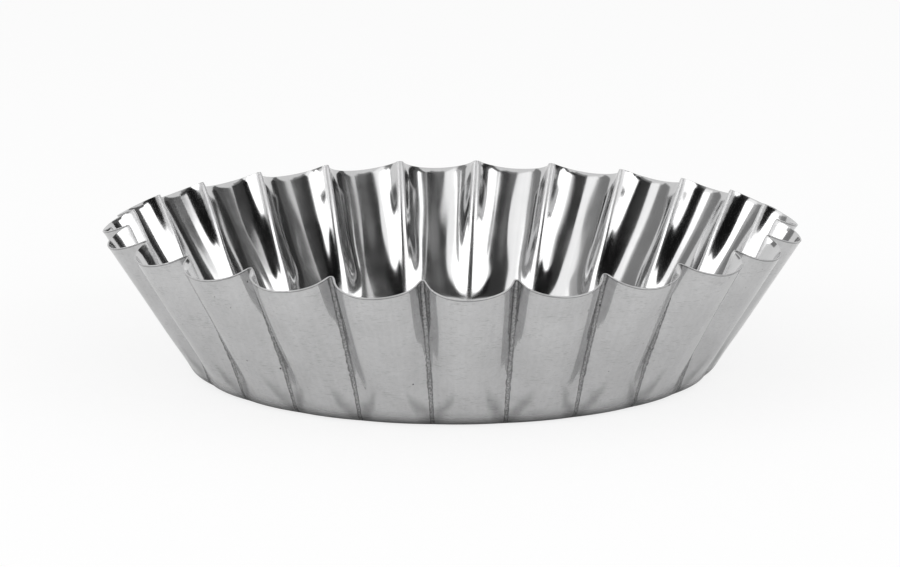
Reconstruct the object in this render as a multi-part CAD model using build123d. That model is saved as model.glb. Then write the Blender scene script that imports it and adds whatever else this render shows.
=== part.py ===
from build123d import *
from math import atan2, cos, hypot, pi, radians, sin, sqrt
import os

# Fluted brioche mould, pressed in one piece from a round tinplate blank.
# Millimetres. Origin at the centre of the underside, +Z up towards the open mouth,
# one flute centred on +X.

# Overall sizes, over the outer skin
rim_diameter = 100.0  # across the crests of two opposite flutes, at the cut edge
flute_height = 19.9  # from the underside to the cut edge at a crest
base_diameter = 75.0  # where the straight walls would meet the plane of the underside
corner_radius = 3.1  # between the walls and the base
sheet = 0.3  # thickness of the tinplate

# Flutes, over the outer skin
flute_count = 24
crease_depth = 3.4  # from the crests in to the creases, at the cut edge
crease_radius = 0.4  # of the sharp fold between two flutes, at the mouth
foot_wrap = radians(12)  # half the arc of a flute at its foot, where it fades into the corner

# The walls are drawn this far above the highest point of the cut edge and then trimmed
trim_allowance = 1.0

rim_radius = rim_diameter / 2
base_radius = base_diameter / 2
pitch = 2 * pi / flute_count
half_pitch = pitch / 2

# The blank is round, so the cut edge keeps one distance from the base circle all the way
# round, and it stands higher at the creases because the wall is steeper there.
wall_length = hypot(rim_radius - base_radius, flute_height)
crease_reach = rim_radius - crease_depth - base_radius
crease_height = sqrt(wall_length**2 - crease_reach**2)

# At the mouth plane the outline of the outer skin follows from the crest and crease lines
mouth_height = crease_height + trim_allowance
mouth_crest = base_radius + (rim_radius - base_radius) * mouth_height / flute_height
mouth_crease = base_radius + crease_reach * mouth_height / crease_height
fold_centre = mouth_crease + crease_radius
crest_reach = mouth_crest + crease_radius
flute_centre = (crest_reach**2 - fold_centre**2) / (2 * (crest_reach - fold_centre * cos(half_pitch)))
mouth_flute = mouth_crest - flute_centre
mouth_wrap = atan2(fold_centre * sin(half_pitch), fold_centre * cos(half_pitch) - flute_centre)


def outline(height, crest, flute, fold, wrap):
    # Outward arcs of radius flute joined smoothly by inward arcs of radius fold
    flute_axis = crest - flute
    fold_axis = (flute + fold) * sin(wrap) / sin(half_pitch)

    def point(axis_radius, axis_angle, radius, angle):
        x = axis_radius * cos(axis_angle) + radius * cos(angle)
        y = axis_radius * sin(axis_angle) + radius * sin(angle)
        return Vector(x, y, height)

    arcs = []
    for i in range(flute_count):
        turn = i * pitch
        crease = turn + half_pitch
        first = point(flute_axis, turn, flute, turn - wrap)
        last = point(flute_axis, turn, flute, turn + wrap)
        following = point(flute_axis, turn + pitch, flute, turn + pitch - wrap)
        arcs.append(ThreePointArc(first, point(flute_axis, turn, flute, turn), last))
        arcs.append(ThreePointArc(last, point(fold_axis, crease, fold, crease + pi), following))
    return Wire(arcs)


def fluted_form(floor_height, floor_crest, top_crest, top_flute, top_fold, corner):
    # The folds take the same share of the outline at the foot as at the mouth, which keeps
    # every joint between a flute and a fold smooth all the way up the wall.
    share = top_fold * (mouth_wrap - half_pitch) / (top_flute * mouth_wrap)
    fold_ratio = share * foot_wrap / (foot_wrap - half_pitch)
    foot_flute = floor_crest / (1 + (1 + fold_ratio) * sin(foot_wrap - half_pitch) / sin(half_pitch))
    foot = outline(floor_height, floor_crest, foot_flute, fold_ratio * foot_flute, foot_wrap)
    mouth = outline(mouth_height, top_crest, top_flute, top_fold, mouth_wrap)
    walls = Solid.make_loft([foot, mouth], ruled=True)
    return walls.fillet(corner, walls.edges().filter_by_position(Axis.Z, floor_height, floor_height))


# Outer and inner skin, one sheet apart
flare = atan2(rim_radius - base_radius, flute_height)
across = sheet / cos(flare)  # the sheet measured level through a sloping crest
inner_floor_crest = base_radius + sheet * (rim_radius - base_radius) / flute_height - across
outer_form = fluted_form(0, base_radius, mouth_crest, mouth_flute, crease_radius, corner_radius)
inner_form = fluted_form(
    sheet,
    inner_floor_crest,
    mouth_crest - across,
    mouth_flute - across,
    crease_radius + across,
    corner_radius - sheet,
)

# Trimming to the round blank leaves the wavy edge
blank_reach = Pos(base_radius / 2, 0) * Rectangle(base_radius, 2 * wall_length)
blank_reach += Pos(base_radius, 0) * Circle(wall_length)
mould_shell = (outer_form & revolve(Plane.XZ * blank_reach, Axis.Z)) - inner_form

os.makedirs("parts", exist_ok=True)
export_step(mould_shell, "parts/mould_shell.step")
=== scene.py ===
import bpy
import numpy as np
from math import atan2, cos, hypot, pi, radians, sin, sqrt
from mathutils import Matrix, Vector


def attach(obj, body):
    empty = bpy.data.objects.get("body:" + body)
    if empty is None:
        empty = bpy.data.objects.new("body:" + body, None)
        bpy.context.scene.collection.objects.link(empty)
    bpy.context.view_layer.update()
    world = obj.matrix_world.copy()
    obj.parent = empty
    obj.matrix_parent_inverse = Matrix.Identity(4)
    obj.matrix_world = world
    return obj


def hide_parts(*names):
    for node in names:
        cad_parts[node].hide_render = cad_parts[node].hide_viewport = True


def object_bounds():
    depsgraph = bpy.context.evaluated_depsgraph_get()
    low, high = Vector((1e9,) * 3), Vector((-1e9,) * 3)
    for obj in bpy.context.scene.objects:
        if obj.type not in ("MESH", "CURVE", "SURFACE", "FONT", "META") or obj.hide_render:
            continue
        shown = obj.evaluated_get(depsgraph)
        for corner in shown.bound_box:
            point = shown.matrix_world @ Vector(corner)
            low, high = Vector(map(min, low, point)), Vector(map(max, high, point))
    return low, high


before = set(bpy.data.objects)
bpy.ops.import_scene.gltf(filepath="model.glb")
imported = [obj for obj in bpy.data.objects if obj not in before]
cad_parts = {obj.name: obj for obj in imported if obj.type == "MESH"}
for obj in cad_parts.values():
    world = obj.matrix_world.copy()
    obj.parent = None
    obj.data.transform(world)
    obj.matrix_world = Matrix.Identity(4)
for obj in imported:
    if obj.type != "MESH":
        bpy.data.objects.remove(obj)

cadBox = [list(map(float, corner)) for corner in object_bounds()]
print("frame loaded, CAD box", cadBox)


# the mould: one tinplate sheet, all sizes in metres over the outer skin
mould = {
    "rimRadius": cadBox[1][0],      # crest of a flute at the cut edge
    "fluteHeight": 0.0199,          # the cut edge at a crest
    "baseRadius": 0.0375,           # the straight walls meet the base plane here
    "cornerRadius": 0.0031,
    "sheet": 0.0003,
    "fluteCount": 24,
    "creaseDepth": 0.0034,          # from the crests in to the creases, at the cut edge
    "creaseRadius": 0.00015,        # of the sharp fold between two flutes, at the mouth
    "footWrap": radians(10.5),      # half the arc of a flute at its foot
    "footFold": 0.2,                # radius of the fold over that of the flute, down at the foot
    "footTwist": radians(0.7),      # the press leaves the flutes a little skewed
    "trimAllowance": 0.001,         # the wall is drawn past the edge and cut back
    "edgeRound": 0.00004,           # both corners of the cut edge
    "landWidth": 0.00042,           # flat strip pressed along each crease
    "landDepth": 0.000018,
    "landSlope": 0.00004,           # half the width of the step at each side of it

    # uneven drawing of the thin sheet, over the flutes
    "seed": 7,
    "lean": 0.00007,                # one flank in and the other out
    "crown": 0.00006,               # the middle of a flute in or out
    "ripple": 0.00002,              # narrower waves across a flute

    # and along the creases
    "draw": (0.00052, 0.00028, 0.00020),    # drawn in deeper: low down, half way and at the mouth
    "drawReach": (0.0023, 0.0017),  # half way and at the mouth
    "valley": 0.00019,              # rounder beside the fold
    "valleyReach": 0.0009,
    "valleyFade": 0.65,             # the share that is gone at the mouth
    "valleyNarrowing": 0.42,        # and how much narrower it is there
    "footDip": 0.00010,             # drawn in round the foot of each crease
    "footDipReach": 0.0014,
    "footDipClimb": 0.11,           # its height and spread, as shares of the climb
    "footDipSpread": 0.07,

    # and at the cut edge
    "lip": 0.00004,                 # leans outwards a little
    "lipThinning": 0.00007,         # and is coined thinner on the inside
    "lipReach": 0.038,              # share of the climb that this takes up

    # rows and columns of the mesh
    "fluteSteps": 44,
    "foldSteps": 20,
    "floorRings": 14,
    "cornerSteps": 12,
    "wallSteps": 64,
    "edgeSteps": 2,                 # round each corner of the cut edge

    # climb says how far up the sheet a row is: -1 in mid base, 0 where the corner starts, 1 at the cut edge
    "cornerClimb": 0.06,            # and this where the corner ends
}
finishSlots = {"outside": 0, "inside": 1, "cut": 2, "underside": 3}      # order of the materials


def turned(x, y, angle):
    return x * np.cos(angle) - y * np.sin(angle), x * np.sin(angle) + y * np.cos(angle)


def outlineRow(crest, flute, fold, wrap):
    # plan outline: outward arcs for the flutes, joined by small inward arcs at the creases
    half = pi / mould["fluteCount"]
    fluteAxis = crest - flute
    foldAxis = (flute + fold) * sin(wrap) / sin(half)
    onFlute = np.linspace(-wrap, wrap, mould["fluteSteps"] + 1)
    onFold = np.linspace(wrap - half, half - wrap, mould["foldSteps"] + 1)[1:-1] + half + pi
    x = np.concatenate([fluteAxis + flute * np.cos(onFlute), foldAxis * cos(half) + fold * np.cos(onFold)])
    y = np.concatenate([flute * np.sin(onFlute), foldAxis * sin(half) + fold * np.sin(onFold)])
    x, y = turned(x, y, np.arange(mould["fluteCount"])[:, None] * 2 * half)
    return np.stack([x.ravel(), y.ravel()], -1)


def footAndMouth():
    half = pi / mould["fluteCount"]
    run = mould["rimRadius"] - mould["baseRadius"]
    wallLength = hypot(run, mould["fluteHeight"])     # the same all round, as the blank is round
    creaseRun = run - mould["creaseDepth"]
    creaseHeight = sqrt(wallLength**2 - creaseRun**2)
    mouthHeight = creaseHeight + mould["trimAllowance"]
    crest = mould["baseRadius"] + run * mouthHeight / mould["fluteHeight"]
    crease = mould["baseRadius"] + creaseRun * mouthHeight / creaseHeight
    foldAxis = crease + mould["creaseRadius"]
    reach = crest + mould["creaseRadius"]
    fluteAxis = (reach**2 - foldAxis**2) / (2 * (reach - foldAxis * cos(half)))
    wrap = atan2(foldAxis * sin(half), foldAxis * cos(half) - fluteAxis)
    mouth = outlineRow(crest, crest - fluteAxis, mould["creaseRadius"], wrap)
    ratio = mould["footFold"]
    footFlute = mould["baseRadius"] / (1 + (1 + ratio) * sin(mould["footWrap"] - half) / sin(half))
    foot = outlineRow(mould["baseRadius"], footFlute, ratio * footFlute, mould["footWrap"])
    return foot, mouth, mouthHeight, wallLength


def outerSkin():
    # rows of points from the middle of the base, round the corner and up to the cut edge
    foot, mouth, mouthHeight, wallLength = footAndMouth()
    count = len(foot)
    low = np.column_stack([foot, np.zeros(count)])
    high = np.column_stack([mouth, np.full(count, mouthHeight)])
    rise = high - low
    rise /= np.linalg.norm(rise, axis=1)[:, None]
    level = rise * [1, 1, 0]
    level /= np.linalg.norm(level, axis=1)[:, None]
    bend = np.arccos((rise * level).sum(1))           # how far the sheet turns at the corner

    # the flat of the base is a plain disc, so the corner is tighter at the creases
    flatRadius = mould["baseRadius"] - mould["cornerRadius"] * np.tan(bend.min() / 2)
    tangent = np.hypot(low[:, 0], low[:, 1]) - flatRadius
    corner = (tangent / np.tan(bend / 2))[:, None]
    floorEnd = low - level * tangent[:, None]
    rows, climb = [], []
    for i in range(1, mould["floorRings"] + 1):
        share = i / mould["floorRings"]
        rows.append(floorEnd * share**0.8)            # closer rings towards the corner
        climb.append(np.full(count, -1 + share))
    for i in range(1, mould["cornerSteps"] + 1):
        share = i / mould["cornerSteps"]
        turn = (bend * share)[:, None]
        rows.append(floorEnd + corner * (level * np.sin(turn) + [0, 0, 1] * (1 - np.cos(turn))))
        climb.append(np.full(count, mould["cornerClimb"] * share))

    length = np.full(count, wallLength)
    for _ in range(12):                               # slides up each ruling to the round blank's edge
        at = low + rise * length[:, None]
        length *= wallLength / np.hypot(np.hypot(at[:, 0], at[:, 1]) - mould["baseRadius"], at[:, 2])
    length -= mould["edgeRound"]
    for i in range(1, mould["wallSteps"] + 1):
        share = 1 - (1 - i / mould["wallSteps"]) ** 1.5       # closer rows towards the cut edge
        rows.append(low + rise * (tangent + (length - tangent) * share)[:, None])
        climb.append(np.full(count, mould["cornerClimb"] + (1 - mould["cornerClimb"]) * share))
    return np.array(rows), np.array(climb), rise


def twisted(grid):
    height = np.clip(grid[..., 2] / mould["fluteHeight"], 0, 1)
    x, y = turned(grid[..., 0], grid[..., 1], mould["footTwist"] * (1 - height))
    return np.stack([x, y, grid[..., 2]], -1)


def creaseDistance(grid):
    # signed way along the sheet to the nearest crease line, and the width of the flutes, row by row
    pitchColumns = mould["fluteSteps"] + mould["foldSteps"]
    first = mould["fluteSteps"] + mould["foldSteps"] // 2
    step = np.linalg.norm(np.roll(grid, -1, 1) - grid, axis=2)
    step = np.roll(step, -first, 1).reshape(len(grid), mould["fluteCount"], pitchColumns)
    ahead = np.concatenate([np.zeros(step.shape[:2] + (1,)), np.cumsum(step, 2)[..., :-1]], 2)
    back = step.sum(2)[..., None] - ahead
    signed = np.where(ahead < back, ahead, -back).reshape(len(grid), -1)
    width = np.repeat(step.sum(2), pitchColumns, axis=1)
    return np.roll(signed, first, 1), np.roll(width, first, 1)


def smoothstep(low, high, value):
    share = np.clip((value - low) / (high - low), 0, 1)
    return share * share * (3 - 2 * share)


def fluteDents(up, crease, width):
    # slow random waves up each flute, in four shapes across it
    rng = np.random.default_rng(mould["seed"])
    across = crease / (width / 2)
    place = np.where(crease >= 0, across - 1, across + 1)     # -1 and 1 at the creases, 0 in mid flute
    pitchColumns = mould["fluteSteps"] + mould["foldSteps"]
    columns = np.arange(crease.shape[1]) + mould["foldSteps"] // 2
    fluteOf = (columns // pitchColumns) % mould["fluteCount"]
    shapes = [("lean", np.sin(pi * place)), ("crown", np.cos(pi * place / 2) ** 2),
              ("ripple", np.sin(2 * pi * place)), ("ripple", np.sin(3 * pi * place) * 0.7)]
    strengths = np.array([1.0, 1.0, 0.8, 0.5])[:, None]       # of the waves, the longest first
    push = np.zeros_like(crease)
    for name, shape in shapes:
        waves = rng.normal(size=(len(strengths), mould["fluteCount"])) * strengths
        level = sum(wave[fluteOf] * np.cos(k * pi * up + k) for k, wave in enumerate(waves))
        push += mould[name] * level * shape
    return push


def creaseDents(up, away):
    # the creases are drawn in, with a round valley on both sides of the fold
    low, middle, high = mould["draw"]
    aboveCorner = smoothstep(0.03, 0.3, up)
    depth = low * aboveCorner
    depth += (middle - low) * smoothstep(0.3, 0.6, up)
    depth += (high - middle) * smoothstep(0.6, 1, up)
    wide, narrow = mould["drawReach"]
    reach = wide + (narrow - wide) * smoothstep(0.5, 1, up)
    nearMouth = smoothstep(0.45, 0.75, up)
    valley = mould["valley"] * aboveCorner * (1 - mould["valleyFade"] * nearMouth)
    valleyReach = mould["valleyReach"] * (1 - mould["valleyNarrowing"] * nearMouth)
    return valley * np.exp(-(away / valleyReach) ** 2) - depth * np.exp(-(away / reach) ** 2)


def footDips(climb, away):
    beside = np.exp(-(away / mould["footDipReach"]) ** 2)
    along = np.exp(-((climb - mould["footDipClimb"]) / mould["footDipSpread"]) ** 2)
    return mould["footDip"] * beside * along * smoothstep(0, 0.05, climb)


def landGroove(climb, away):
    half = mould["landWidth"] * 0.5
    land = 1 - smoothstep(half - mould["landSlope"], half + mould["landSlope"], away)
    return mould["landDepth"] * land * smoothstep(0.03, 0.09, climb)


def gridNormals(grid):
    along = np.roll(grid, -1, 1) - np.roll(grid, 1, 1)
    normal = np.cross(along, np.gradient(grid, axis=0))
    normal /= np.maximum(np.linalg.norm(normal, axis=2), 1e-12)[..., None]
    normal[: mould["floorRings"] - 1] = [0, 0, -1]
    return normal


def cutEdge(outerRow, innerRow, inward, rise):
    # over the cut edge, from the outer skin to the inner one
    radius, steps = mould["edgeRound"], mould["edgeSteps"]
    turns = [pi / 2 * i / steps for i in range(1, steps + 1)]
    over = [outerRow + rise * radius * sin(turn) + inward * radius * (1 - cos(turn)) for turn in turns]
    back = [innerRow + rise * radius * sin(turn) - inward * radius * (1 - cos(turn)) for turn in turns[::-1]]
    return np.array(over + back)


def sheetFaces(total, count):
    # quads from row to row, and a fan over the middle of each skin
    row, column = np.meshgrid(np.arange(total - 1), np.arange(count), indexing="ij")
    here, beside = row * count + column, row * count + (column + 1) % count
    quads = np.stack([here, beside, beside + count, here + count], -1).reshape(-1, 4)
    ring = np.arange(count)
    following = (ring + 1) % count
    lastRow = (total - 1) * count
    under, above = np.full(count, total * count), np.full(count, total * count + 1)
    fanUnder = np.stack([under, following, ring], -1)
    fanAbove = np.stack([above, lastRow + ring, lastRow + following], -1)
    return quads.tolist() + fanUnder.tolist() + fanAbove.tolist()


def faceSlots(outerRows, total, count):
    slots = np.full(total - 1, finishSlots["inside"])
    slots[: outerRows + 2 * mould["edgeSteps"]] = finishSlots["cut"]
    slots[: outerRows - 1] = finishSlots["outside"]
    slots[: mould["floorRings"] - 1] = finishSlots["underside"]
    fans = np.repeat([finishSlots["underside"], finishSlots["inside"]], count)
    return np.append(np.repeat(slots, count), fans).astype(np.int32)


def addNumbers(mesh, name, outerRows, middle):
    # the cut edge takes the numbers of the last outer row, and the inner skin those of the outer one
    edge = np.repeat(outerRows[-1:], 2 * mould["edgeSteps"], 0)
    numbers = np.concatenate([outerRows, edge, outerRows[::-1]]).ravel()
    layer = mesh.attributes.new(name, "FLOAT", "POINT")
    layer.data.foreach_set("value", np.append(numbers, [middle, middle]).astype(np.float32))


def buildMould():
    outer, climb, rise = outerSkin()
    outer = twisted(outer)
    crease, width = creaseDistance(outer)
    away, up = np.abs(crease), np.clip(climb, 0, 1)
    normal = gridNormals(outer)
    lip = np.clip((climb - 1 + mould["lipReach"]) / mould["lipReach"], 0, 1) ** 2
    push = fluteDents(up, crease, width) * smoothstep(0.02, 0.3, climb)
    push += creaseDents(up, away) - footDips(climb, away) + mould["lip"] * lip
    outer = outer + normal * push[..., None]
    inner = outer - normal * (mould["sheet"] - mould["lipThinning"] * lip)[..., None]
    outer = outer - normal * landGroove(climb, away)[..., None]
    edge = cutEdge(outer[-1], inner[-1], -normal[-1], rise)
    rows = np.concatenate([outer, edge, inner[::-1]])
    total, count = rows.shape[:2]
    verts = np.concatenate([rows.reshape(-1, 3), [[0, 0, 0], [0, 0, mould["sheet"]]]])
    mesh = bpy.data.meshes.new("mouldSheet")
    mesh.from_pydata(verts.tolist(), [], sheetFaces(total, count))
    mesh.polygons.foreach_set("material_index", faceSlots(len(outer), total, count))
    mesh.polygons.foreach_set("use_smooth", np.ones(len(mesh.polygons), bool))
    addNumbers(mesh, "creaseWay", away, 0.005)        # mid base counts as far from any crease
    addNumbers(mesh, "climb", climb, -1)
    mesh.update()
    obj = bpy.data.objects.new("mouldSheet", mesh)
    bpy.context.collection.objects.link(obj)
    return obj


mouldSheet = buildMould()
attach(mouldSheet, "root")
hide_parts("mould_shell")
print("mould built,", len(mouldSheet.data.polygons), "faces")


# short ways to write shader nodes
def feed(tree, node, values):
    for key, value in values.items():
        if isinstance(value, bpy.types.NodeSocket):
            tree.links.new(value, node.inputs[key])
        else:
            node.inputs[key].default_value = value
    return node


def put(tree, kind, values=None, **settings):
    node = tree.nodes.new("ShaderNode" + kind)
    for key, value in settings.items():
        setattr(node, key, value)
    return feed(tree, node, values or {})


def calc(tree, operation, *values):
    return put(tree, "Math", dict(enumerate(values)), operation=operation).outputs[0]


def plus(tree, first, second):
    return calc(tree, "ADD", first, second)


def minus(tree, first, second):
    return calc(tree, "SUBTRACT", first, second)


def times(tree, first, *others):
    for other in others:
        first = calc(tree, "MULTIPLY", first, other)
    return first


def between(tree, value, low, high, toLow=0.0, toHigh=1.0):
    values = {"Value": value, "From Min": low, "From Max": high, "To Min": toLow, "To Max": toHigh}
    return put(tree, "MapRange", values, interpolation_type="SMOOTHSTEP").outputs["Result"]


def noise(tree, place, scale, detail, roughness=0.5):
    values = {"Vector": place, "Scale": scale, "Detail": detail, "Roughness": roughness}
    return put(tree, "TexNoise", values).outputs[0]


def wander(tree, place, scale, detail, spread):
    # up and down round 0, over this spread
    return times(tree, minus(tree, noise(tree, place, scale, detail), 0.5), spread)


def varied(tree, shade, field, share):
    # lighter and darker by this share, following a noise
    return times(tree, shade, between(tree, field, 0.3, 0.7, 1 - share, 1 + share))


def darkened(tree, shade, mask, share):
    return times(tree, shade, minus(tree, 1.0, times(tree, mask, share)))


def group(name, inputs, outputs):
    tree = bpy.data.node_groups.new(name, "ShaderNodeTree")
    for socketName, kind, value in inputs:
        socket = tree.interface.new_socket(socketName, in_out="INPUT", socket_type="NodeSocket" + kind)
        if value is not None:
            socket.default_value = value
    for socketName in outputs:
        tree.interface.new_socket(socketName, in_out="OUTPUT", socket_type="NodeSocketFloat")
    return tree, tree.nodes.new("NodeGroupInput").outputs, tree.nodes.new("NodeGroupOutput")


def use(tree, groupTree, values):
    node = tree.nodes.new("ShaderNodeGroup")
    node.node_tree = groupTree
    return feed(tree, node, values).outputs


# effects that all the finishes share; Place, Length, Spacing, Size, Width and Reach are in metres
def makeRolledGrain():
    # short level scratches from the rolls and the die
    tree, given, end = group("rolledGrain",
                             [("Place", "Vector", None), ("Length", "Float", 0.002),
                              ("Thickness", "Float", 0.00012), ("Cover", "Float", 0.5)],
                             ["Mask", "Height"])
    wide = calc(tree, "DIVIDE", 1.0, given["Length"])
    thin = calc(tree, "DIVIDE", 1.0, given["Thickness"])
    scale = put(tree, "CombineXYZ", {"X": wide, "Y": wide, "Z": thin}).outputs[0]
    stretched = put(tree, "VectorMath", {0: given["Place"], 1: scale}, operation="MULTIPLY").outputs[0]
    streaks = noise(tree, stretched, 1.0, 3.0, 0.6)
    patches = noise(tree, given["Place"], 260.0, 2.0)
    limit = minus(tree, 0.80, times(tree, given["Cover"], 0.22))
    limit = plus(tree, limit, times(tree, minus(tree, 0.5, patches), 0.25))      # denser in some patches
    feed(tree, end, {"Mask": between(tree, streaks, limit, plus(tree, limit, 0.07)),
                     "Height": times(tree, streaks, given["Thickness"])})
    return tree


def makePits():
    # scattered dark specks and nicks, taller than wide
    tree, given, end = group("pits",
                             [("Place", "Vector", None), ("Spacing", "Float", 0.003),
                              ("Size", "Float", 0.0002)],
                             ["Mask"])
    place = put(tree, "VectorMath", {0: given["Place"], 1: (1.0, 1.0, 0.6)}, operation="MULTIPLY").outputs[0]
    scale = calc(tree, "DIVIDE", 1.0, given["Spacing"])
    cells = put(tree, "TexVoronoi", {"Vector": place, "Scale": scale, "Randomness": 1.0}).outputs
    chance = put(tree, "SeparateColor", {"Color": cells["Color"]}).outputs[0]
    largest = calc(tree, "DIVIDE", given["Size"], given["Spacing"])
    radius = times(tree, largest, between(tree, chance, 0.3, 1.0))               # of mixed sizes
    feed(tree, end, {"Mask": between(tree, minus(tree, cells["Distance"], radius), 0.02, -0.02)})
    return tree


def makeCreaseLand():
    # the strip that the die nips along a crease: two fine lines with a grainy land between them
    tree, given, end = group("creaseLand",
                             [("Place", "Vector", None), ("Crease Way", "Float", 0.0),
                              ("Climb", "Float", 0.0), ("Width", "Float", 0.0004),
                              ("Softness", "Float", 0.00004),
                              ("At Mouth", "Float", 1.2), ("At Foot", "Float", 1.0)],
                             ["Land", "Lines", "Grain"])
    place, climb = given["Place"], given["Climb"]
    way = calc(tree, "ABSOLUTE", plus(tree, given["Crease Way"], wander(tree, place, 1800.0, 3.0, 0.00022)))
    middle = minus(tree, climb, 0.5)
    waist = plus(tree, times(tree, middle, middle, 0.8), 0.42)                   # narrowest half way up
    off = minus(tree, way, times(tree, given["Width"], waist))
    land = between(tree, off, given["Softness"], times(tree, given["Softness"], -1.0))
    lines = between(tree, calc(tree, "ABSOLUTE", off), 0.00009, 0.00002)
    aboveCorner = between(tree, climb, 0.0, 0.05)
    strength = between(tree, climb, 0.85, 0.55, given["At Mouth"], given["At Foot"])
    feed(tree, end, {"Land": times(tree, land, aboveCorner, strength),
                     "Lines": times(tree, lines, aboveCorner),
                     "Grain": noise(tree, place, 5200.0, 2.0)})
    return tree


def makeFootShadeBands():
    # painted shade: dark bands that spread from the foot of a crease up into the flutes on both sides, where
    # the bent foot reflects the dim floor by the base
    tree, given, end = group("footShadeBands",
                             [("Place", "Vector", None), ("Crease Way", "Float", 0.0),
                              ("Climb", "Float", 0.0), ("Reach", "Float", 0.0033),
                              ("Width", "Float", 0.11)],
                             ["Mask"])
    climb = given["Climb"]
    share = calc(tree, "DIVIDE", given["Crease Way"], given["Reach"])
    line = plus(tree, times(tree, share, 0.165), 0.02)
    line = plus(tree, line, times(tree, calc(tree, "POWER", share, 4.0), 0.09))  # steeper at its end
    height = plus(tree, climb, wander(tree, given["Place"], 300.0, 2.0, 0.16))
    band = between(tree, calc(tree, "ABSOLUTE", minus(tree, height, line)), given["Width"], 0.0)
    fade = times(tree, between(tree, climb, 0.34, 0.12), between(tree, share, 1.35, 0.8))
    feed(tree, end, {"Mask": times(tree, band, fade)})
    return tree


rolledGrain = makeRolledGrain()
pits = makePits()
creaseLand = makeCreaseLand()
# the foot marks are painted shade at the foot of each crease, not marks on the metal
footShadeBands = makeFootShadeBands()

# finishes of the tin: lengths and heights in metres, the rest shares and scales
outsideTin = {
    "tin": 0.56,                    # shade of the plain metal
    "rough": 0.12,
    "cloud": 0.045,                 # soft clouds, lighter and darker
    "cloudScale": 160.0,
    "mottle": 0.034,                # fine mottle
    "mottleScale": 1500.0,
    "draw": 0.02,                   # drawing marks that run up the wall
    "drawScale": 90.0,
    "drawClimb": 1.2,
    "scratchLength": 0.0010,
    "scratchThickness": 0.00013,
    "scratchCover": 0.95,
    "scratchDark": 0.17,
    "scratchRough": 0.12,
    "fineScratch": 0.45,            # the second, finer set: its size and its strength
    "fineStrength": 0.6,
    "pitSpacing": 0.0022,
    "pitSize": 0.00013,
    "pitDark": 0.7,
    "pitRough": 0.3,
    "pitDepth": 0.00001,
    "landWidth": mould["landWidth"],
    "landSoft": 0.00004,
    "landAtFoot": 1.0,
    "landDark": 0.42,               # below 0 it is lighter
    "landRough": 0.3,
    "lineDark": 0.48,
    "edgeFrom": 0.992,              # climb at which the painted shade under the cut edge starts
    "edgeSoft": 0.003,
    "edgeDark": 0.5,
    # strength of the painted shade at the foot of the creases
    "footDark": 0.31,
    "grainRelief": 0.01,            # for the bump, as a share of the scratches' thickness
    "softRelief": 0.000004,
    "softScale": 420.0,
    "landRelief": 0.00004,
}
insideTin = {
    **outsideTin,
    "rough": 0.13, "cloud": 0.025, "mottle": 0.0, "scratchCover": 0.25, "scratchDark": 0.05,
    "pitSpacing": 0.006, "landWidth": 0.00080, "landSoft": 0.00030, "landAtFoot": 0.4,
    "landDark": -0.18, "landRough": 0.36, "lineDark": 0.0, "edgeDark": 0.0, "footDark": 0.0,
    "grainRelief": 0.003, "softRelief": 0.000002, "landRelief": 0.000004,
}
cutSteel = {
    **outsideTin,
    "tin": 0.50, "rough": 0.35, "scratchCover": 0.8,
    "landDark": 0.0, "lineDark": 0.0, "edgeDark": 0.0, "footDark": 0.0,
}
undersideTin = {**outsideTin, "rough": 0.2, "scratchCover": 0.7, "scratchThickness": 0.0003}


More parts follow.
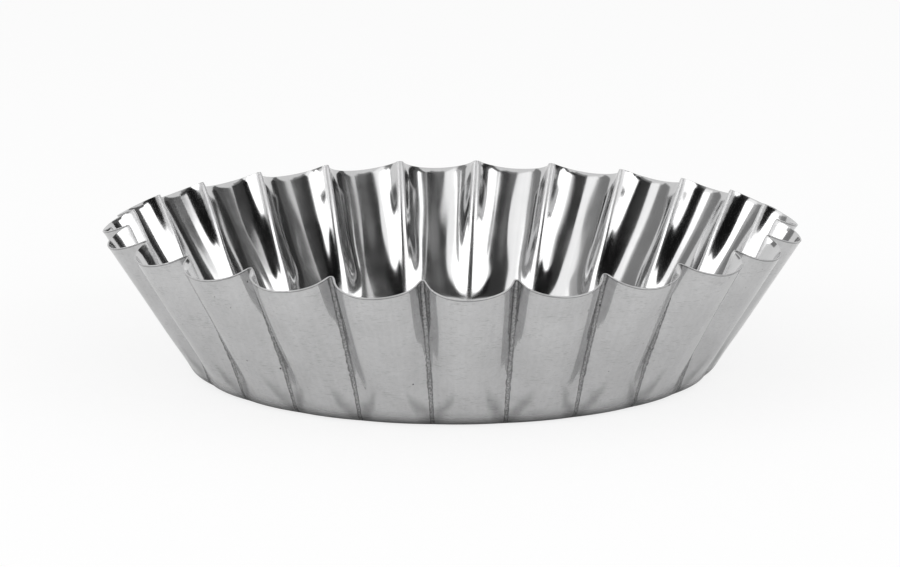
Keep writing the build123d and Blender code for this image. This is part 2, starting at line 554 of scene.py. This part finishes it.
def tinFinish(name, finish):
    material = bpy.data.materials.new(name)
    material.use_nodes = True
    tree = material.node_tree
    place = put(tree, "TexCoord").outputs["Object"]
    creaseWay = put(tree, "Attribute", attribute_name="creaseWay").outputs["Fac"]
    climb = put(tree, "Attribute", attribute_name="climb").outputs["Fac"]

    length, thickness = finish["scratchLength"], finish["scratchThickness"]
    fineSize = finish["fineScratch"]
    coarse = use(tree, rolledGrain, {"Place": place, "Cover": finish["scratchCover"],
                                     "Length": length, "Thickness": thickness})
    fine = use(tree, rolledGrain, {"Place": place, "Cover": finish["scratchCover"],
                                   "Length": length * fineSize, "Thickness": thickness * fineSize})
    specks = use(tree, pits, {"Place": place, "Spacing": finish["pitSpacing"],
                              "Size": finish["pitSize"]})["Mask"]
    land = use(tree, creaseLand, {"Place": place, "Crease Way": creaseWay, "Climb": climb,
                                  "Width": finish["landWidth"], "Softness": finish["landSoft"],
                                  "At Foot": finish["landAtFoot"]})
    # painted shade at the foot of each crease
    footShadeMask = use(tree, footShadeBands, {"Place": place, "Crease Way": creaseWay, "Climb": climb})["Mask"]
    scored = calc(tree, "MAXIMUM", coarse["Mask"], times(tree, fine["Mask"], finish["fineStrength"]))
    cloud = noise(tree, place, finish["cloudScale"], 4.0, 0.55)
    mottle = noise(tree, place, finish["mottleScale"], 3.0, 0.7)
    # painted shade along the cut edge, where the burr's shadow falls
    edgeShade = between(tree, climb, finish["edgeFrom"], finish["edgeFrom"] + finish["edgeSoft"])

    # drawing marks keep their place round the mould as they run up the wall
    xyz = put(tree, "SeparateXYZ", {"Vector": place}).outputs
    angle = calc(tree, "ARCTAN2", xyz["Y"], xyz["X"])
    unrolled = put(tree, "CombineXYZ", {"X": times(tree, calc(tree, "COSINE", angle), finish["drawScale"]),
                                        "Y": times(tree, calc(tree, "SINE", angle), finish["drawScale"]),
                                        "Z": times(tree, climb, finish["drawClimb"])}).outputs[0]
    draw = noise(tree, unrolled, 1.0, 3.0, 0.6)

    # shade: clouded tin, darker in scratches and pits and along the creases, with painted shade in the foot
    # marks and under the cut edge
    shade = varied(tree, finish["tin"], cloud, finish["cloud"])
    shade = varied(tree, shade, draw, finish["draw"])
    shade = varied(tree, shade, mottle, finish["mottle"])
    shade = darkened(tree, shade, scored, finish["scratchDark"])
    shade = darkened(tree, shade, specks, finish["pitDark"])
    landDark = finish["landDark"]
    landShade = between(tree, land["Grain"], 0.3, 0.7, 1 - landDark * 1.5, 1 - landDark * 0.4)
    landMix = put(tree, "Mix", {"Factor": land["Land"], "A": 1.0, "B": landShade}, data_type="FLOAT")
    shade = times(tree, shade, landMix.outputs[0])
    shade = darkened(tree, shade, land["Lines"], finish["lineDark"])
    shade = darkened(tree, shade, edgeShade, finish["edgeDark"])
    shade = darkened(tree, shade, footShadeMask, finish["footDark"])
    bluer = times(tree, shade, 1.004)
    color = put(tree, "CombineColor", {"Red": shade, "Green": shade, "Blue": bluer}).outputs[0]

    rough = between(tree, cloud, 0.3, 0.75, finish["rough"] * 0.75, finish["rough"] * 1.3)
    rough = plus(tree, rough, times(tree, scored, finish["scratchRough"]))
    rough = plus(tree, rough, times(tree, land["Land"], finish["landRough"]))
    rough = plus(tree, rough, times(tree, specks, finish["pitRough"]))
    rough.node.use_clamp = True

    # relief in metres: rolled grain, soft hollows, grainy lands, pits
    hollows = noise(tree, place, finish["softScale"], 1.0)
    relief = times(tree, coarse["Height"], finish["grainRelief"])
    relief = plus(tree, relief, times(tree, fine["Height"], finish["grainRelief"]))
    relief = plus(tree, relief, times(tree, hollows, finish["softRelief"]))
    relief = plus(tree, relief, times(tree, land["Grain"], land["Land"], finish["landRelief"]))
    relief = minus(tree, relief, times(tree, specks, finish["pitDepth"]))
    bump = put(tree, "Bump", {"Height": relief, "Strength": 1.0, "Distance": 1.0}).outputs[0]

    feed(tree, tree.nodes["Principled BSDF"],
         {"Base Color": color, "Metallic": 1.0, "Roughness": rough, "Normal": bump})
    return material


mouldSheet.data.materials.append(tinFinish("outsideTin", outsideTin))
mouldSheet.data.materials.append(tinFinish("insideTin", insideTin))
mouldSheet.data.materials.append(tinFinish("cutSteel", cutSteel))
mouldSheet.data.materials.append(tinFinish("undersideTin", undersideTin))
print("finishes made")


# floor and light; azimuths run from the viewer's side, positive to the right
studio = {
    "floorHalf": 3.0,
    "floorShade": 0.93,
    "floorWhiteToCamera": 0.80,     # the paper takes this share from its own white, the rest is lit
    "floorWhiteToGloss": 0.10,
    "roomLight": 0.76,
    "contact": (0.0359, 0.0370, 0.0398),    # radii of the painted contact shadow, a dim ring where the base meets the floor
    "contactShade": 0.45,
    "contactHeight": 0.0001,
    "boxDistance": 0.85,
    "softBoxes": [                  # azimuth, elevation, width, height, strength
        (-62, 25, 0.84, 0.54, 1.6),
        (49, 26, 1.08, 0.54, 1.4),
        (-62, 50, 0.50, 0.24, 0.5),
    ],
    "flagDistance": 0.6,
    "flags": [                      # azimuth from and to, elevation from and to, glow
        (-37, 15, 3, 45, 0.008),
        (-37, 46, 45, 57, 0.055),
        (-40, 36, 57, 66, 0.30),
        (48, 88, 41, 51, 0.15),
        (81, 97, 8, 51, 0.12),
        (97, 122, 8, 38, 0.04),
        (97, 126, 38, 51, 0.15),
        (-124, -92, 20, 48, 0.30),
        (-100, -76, 32, 45, 0.55),
    ],
}


def direction(azimuth, elevation):
    around, up = radians(azimuth), radians(elevation)
    return Vector((sin(around) * cos(up), -cos(around) * cos(up), sin(up)))


def plainMaterial(name, shade):
    material = bpy.data.materials.new(name)
    material.use_nodes = True
    feed(material.node_tree, material.node_tree.nodes["Principled BSDF"],
         {"Base Color": (shade, shade, shade, 1), "Roughness": 0.9, "Specular IOR Level": 0})
    return material


def onlyReflected(obj):
    obj.visible_camera = False
    obj.visible_diffuse = False
    obj.visible_shadow = False
    obj.visible_transmission = False


def addFloor():
    half = studio["floorHalf"]
    corners = [(-half, -half, 0), (half, -half, 0), (half, half, 0), (-half, half, 0)]
    mesh = bpy.data.meshes.new("floor")
    mesh.from_pydata(corners, [], [(0, 1, 2, 3)])
    floor = bpy.data.objects.new("floor", mesh)
    bpy.context.collection.objects.link(floor)
    material = plainMaterial("paleFloor", studio["floorShade"])
    tree = material.node_tree
    path = put(tree, "LightPath").outputs
    seen = times(tree, path["Is Camera Ray"], studio["floorWhiteToCamera"])
    mirrored = calc(tree, "MAXIMUM", path["Is Glossy Ray"], path["Is Transmission Ray"])
    share = calc(tree, "MAXIMUM", seen, times(tree, mirrored, studio["floorWhiteToGloss"]))
    white = put(tree, "Emission", {"Color": (1, 1, 1, 1), "Strength": 1.0}).outputs[0]
    paper = tree.nodes["Principled BSDF"].outputs[0]
    mix = put(tree, "MixShader", {0: share, 1: paper, 2: white}).outputs[0]
    feed(tree, tree.nodes["Material Output"], {"Surface": mix})
    mesh.materials.append(material)


def addContactShadow():
    # painted contact shadow: dims the floor close to the base in reflections only; the shade fades out over
    # the ring
    inner, dark, outer = studio["contact"]
    height = studio["contactHeight"]
    steps = 96
    angles = [2 * pi * i / steps for i in range(steps)]
    verts = [(r * cos(angle), r * sin(angle), height) for r in (inner, outer) for angle in angles]
    faces = [(i, (i + 1) % steps, steps + (i + 1) % steps, steps + i) for i in range(steps)]
    mesh = bpy.data.meshes.new("contactShadowRing")
    mesh.from_pydata(verts, [], faces)
    ring = bpy.data.objects.new("contactShadowRing", mesh)
    bpy.context.collection.objects.link(ring)
    onlyReflected(ring)
    material = plainMaterial("contactShade", studio["contactShade"])
    tree = material.node_tree
    place = put(tree, "TexCoord").outputs["Object"]
    radius = put(tree, "VectorMath", {0: place}, operation="LENGTH").outputs["Value"]
    clear = put(tree, "BsdfTransparent").outputs[0]
    shade = tree.nodes["Principled BSDF"].outputs[0]
    mix = put(tree, "MixShader", {0: between(tree, radius, dark, outer), 1: shade, 2: clear}).outputs[0]
    feed(tree, tree.nodes["Material Output"], {"Surface": mix})
    mesh.materials.append(material)


def addSoftBox(index, azimuth, elevation, width, height, strength):
    lamp = bpy.data.lights.new(f"softBox{index}", "AREA")
    lamp.shape = "RECTANGLE"
    lamp.size = width
    lamp.size_y = height
    lamp.energy = strength * pi * width * height
    box = bpy.data.objects.new(f"softBox{index}", lamp)
    bpy.context.collection.objects.link(box)
    way = direction(azimuth, elevation)
    box.location = way * studio["boxDistance"]
    box.rotation_euler = way.to_track_quat("Z", "Y").to_euler()
    box.visible_camera = False


def addFlag(index, azimuth, azimuthEnd, elevation, elevationEnd, glow):
    # a curved dim card that only shows in reflections, as a photographer's flag does
    wide, high = 24, 8
    verts = []
    for j in range(high + 1):
        up = elevation + (elevationEnd - elevation) * j / high
        for i in range(wide + 1):
            around = azimuth + (azimuthEnd - azimuth) * i / wide
            verts.append(direction(around, up) * studio["flagDistance"])
    corners = [j * (wide + 1) + i for j in range(high) for i in range(wide)]
    faces = [(corner, corner + 1, corner + wide + 2, corner + wide + 1) for corner in corners]
    mesh = bpy.data.meshes.new(f"flag{index}")
    mesh.from_pydata(verts, [], faces)
    flag = bpy.data.objects.new(f"flag{index}", mesh)
    bpy.context.collection.objects.link(flag)
    onlyReflected(flag)
    material = bpy.data.materials.new(f"flagCard{index}")
    material.use_nodes = True
    tree = material.node_tree
    tree.nodes.remove(tree.nodes["Principled BSDF"])
    card = put(tree, "Emission", {"Color": (glow, glow, glow, 1), "Strength": 1.0}).outputs[0]
    feed(tree, tree.nodes["Material Output"], {"Surface": card})
    mesh.materials.append(material)


def addRoom():
    world = bpy.data.worlds.new("studio")
    bpy.context.scene.world = world
    world.use_nodes = True
    tree = world.node_tree
    path = put(tree, "LightPath").outputs
    mirrored = calc(tree, "MAXIMUM", path["Is Glossy Ray"], path["Is Transmission Ray"])
    shown = calc(tree, "MAXIMUM", path["Is Camera Ray"], mirrored)
    strength = put(tree, "MapRange", {"Value": shown, "To Min": studio["roomLight"], "To Max": 1.0})
    feed(tree, tree.nodes["Background"], {"Color": (1, 1, 1, 1), "Strength": strength.outputs[0]})


addFloor()
addRoom()
# painted contact shadow, seen only in reflections
addContactShadow()
for i, box in enumerate(studio["softBoxes"]):
    addSoftBox(i, *box)
for i, flag in enumerate(studio["flags"]):
    addFlag(i, *flag)
print("floor and light set")


# the camera looks a little down on the mould
view = {
    "azimuth": -2.79,               # the flute nearest the viewer stands a little right of the middle
    "elevation": 12.168,
    "distance": 0.42636,
    "target": (0, 0, 0.010),
    "lens": 117.96,
    "pictureWidth": 900,            # pixels
    "shiftRight": -2.2,
    "shiftUp": 10.56,
}
camera = bpy.data.objects.new("camera", bpy.data.cameras.new("camera"))
bpy.context.collection.objects.link(camera)
away = direction(view["azimuth"], view["elevation"])
camera.location = Vector(view["target"]) + away * view["distance"]
camera.rotation_euler = away.to_track_quat("Z", "Y").to_euler()
camera.data.lens = view["lens"]
camera.data.shift_x = view["shiftRight"] / view["pictureWidth"]
camera.data.shift_y = view["shiftUp"] / view["pictureWidth"]
bpy.context.scene.camera = camera
bpy.context.scene.view_settings.view_transform = "Standard"
print("camera set")
